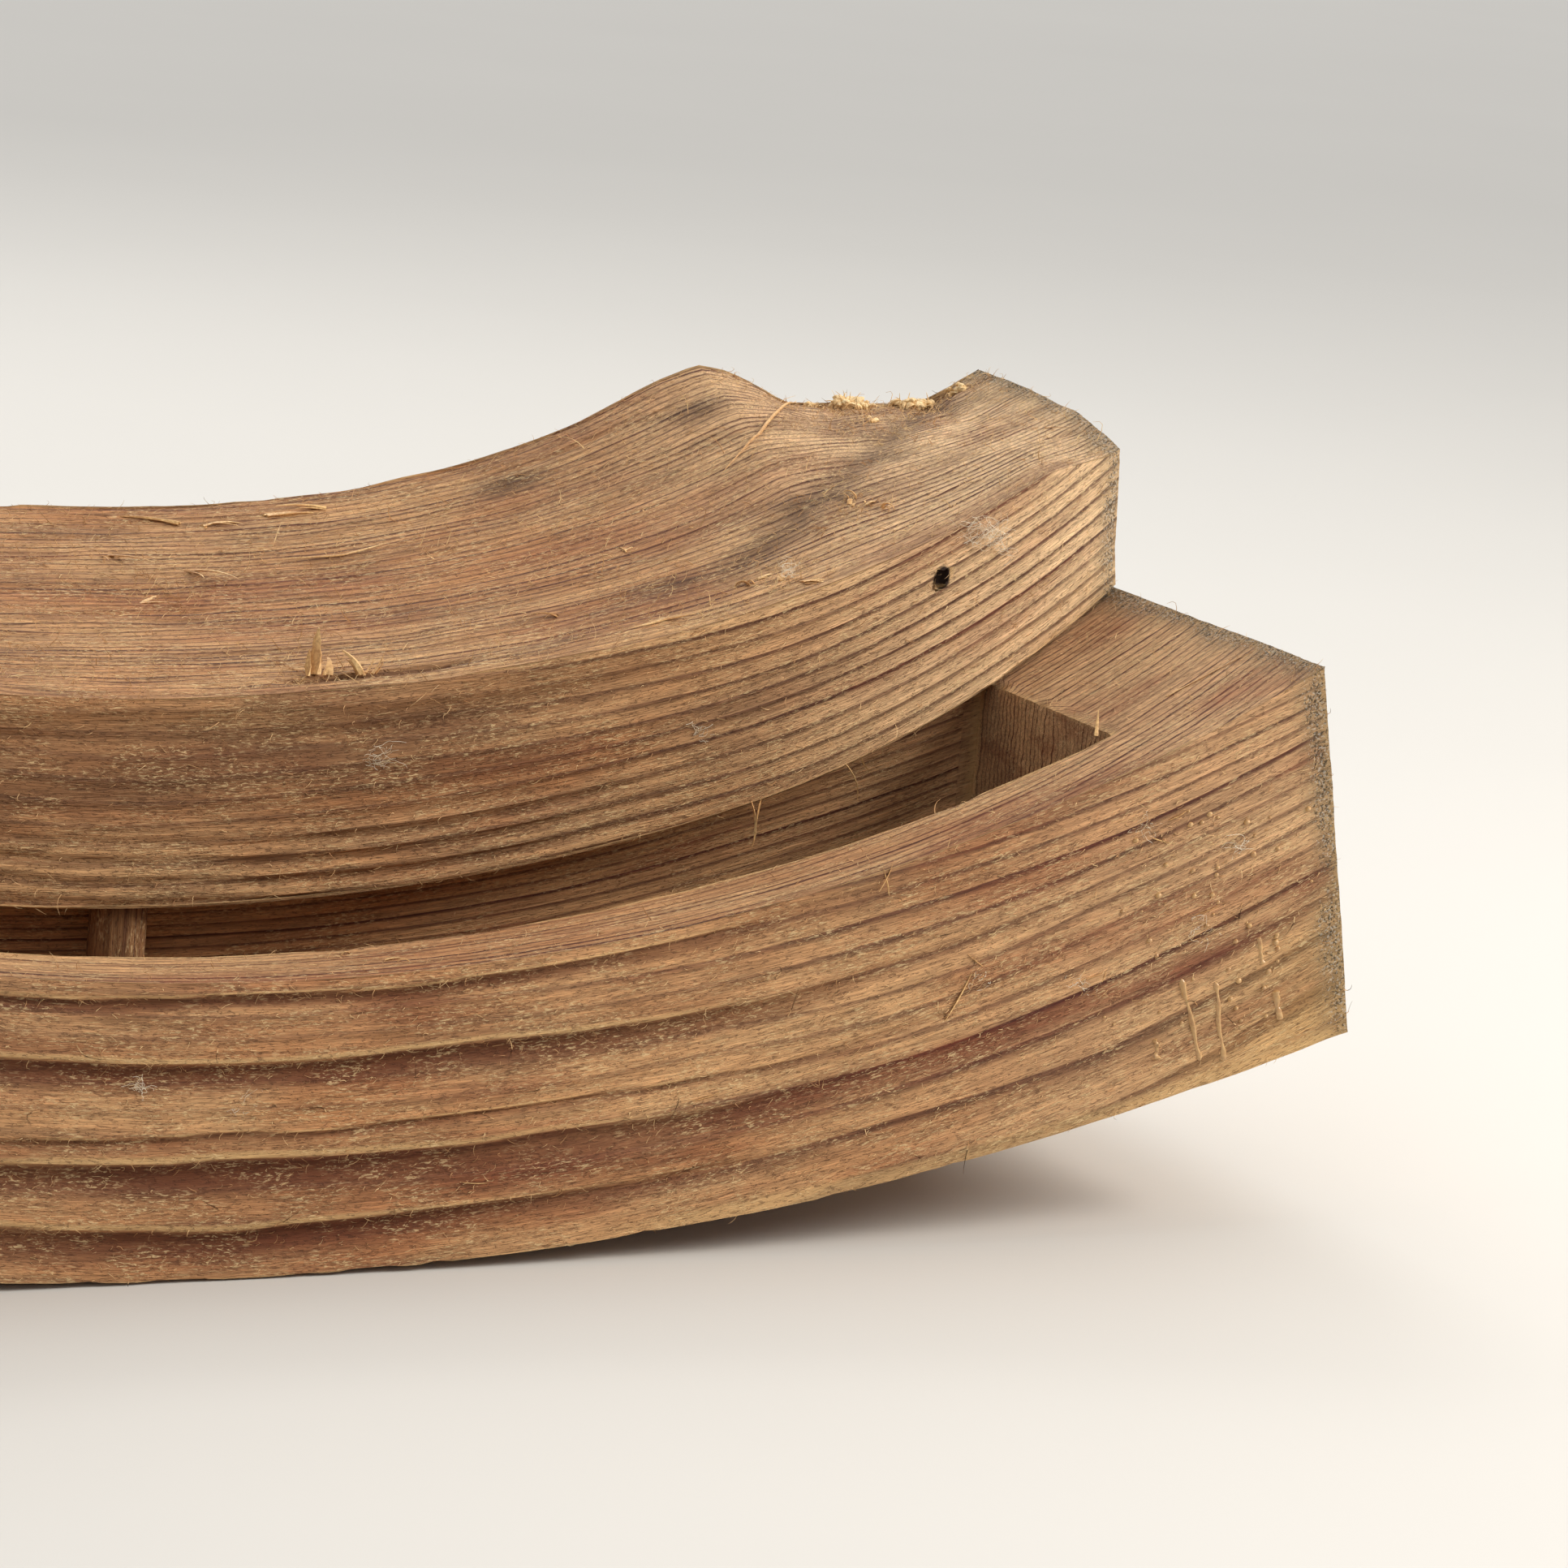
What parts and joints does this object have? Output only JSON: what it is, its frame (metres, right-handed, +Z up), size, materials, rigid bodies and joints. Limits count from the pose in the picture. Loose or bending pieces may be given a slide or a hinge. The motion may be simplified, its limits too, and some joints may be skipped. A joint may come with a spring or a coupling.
{
  "type": "ox yoke",
  "caption": "Single-animal wooden yoke: a curved beam with a strap slot behind a thin lip, and a hollowed seat beam pegged on top of it.",
  "frame": {"origin": "on the ground under the middle of the yoke, at the lowest line of the belly, midway in length and depth", "axes": "+X along the beams towards the end that the picture shows, +Y from the slotted front face to the rear face, +Z up through the seat"},
  "size_m": [0.62, 0.184, 0.1979],
  "materials": {
    "beam_softwood": "sawn, weathered and fuzzy softwood",
    "seat_softwood": "worn and fuzzy softwood",
    "peg_wood": "split peg",
    "treenail_hardwood": "shaved hardwood",
    "wedge_hardwood": "split hardwood"
  },
  "bodies": {
    "root": {"main_beam": "beam_softwood", "seat_beam": "seat_softwood", "centre_peg": "peg_wood", "treenail_left_inner": "treenail_hardwood", "wedge_left_inner": "wedge_hardwood", "treenail_left_outer": "treenail_hardwood", "wedge_left_outer": "wedge_hardwood", "treenail_right_inner": "treenail_hardwood", "wedge_right_inner": "wedge_hardwood", "treenail_right_outer": "treenail_hardwood", "wedge_right_outer": "wedge_hardwood"}
  },
  "joints": []
}
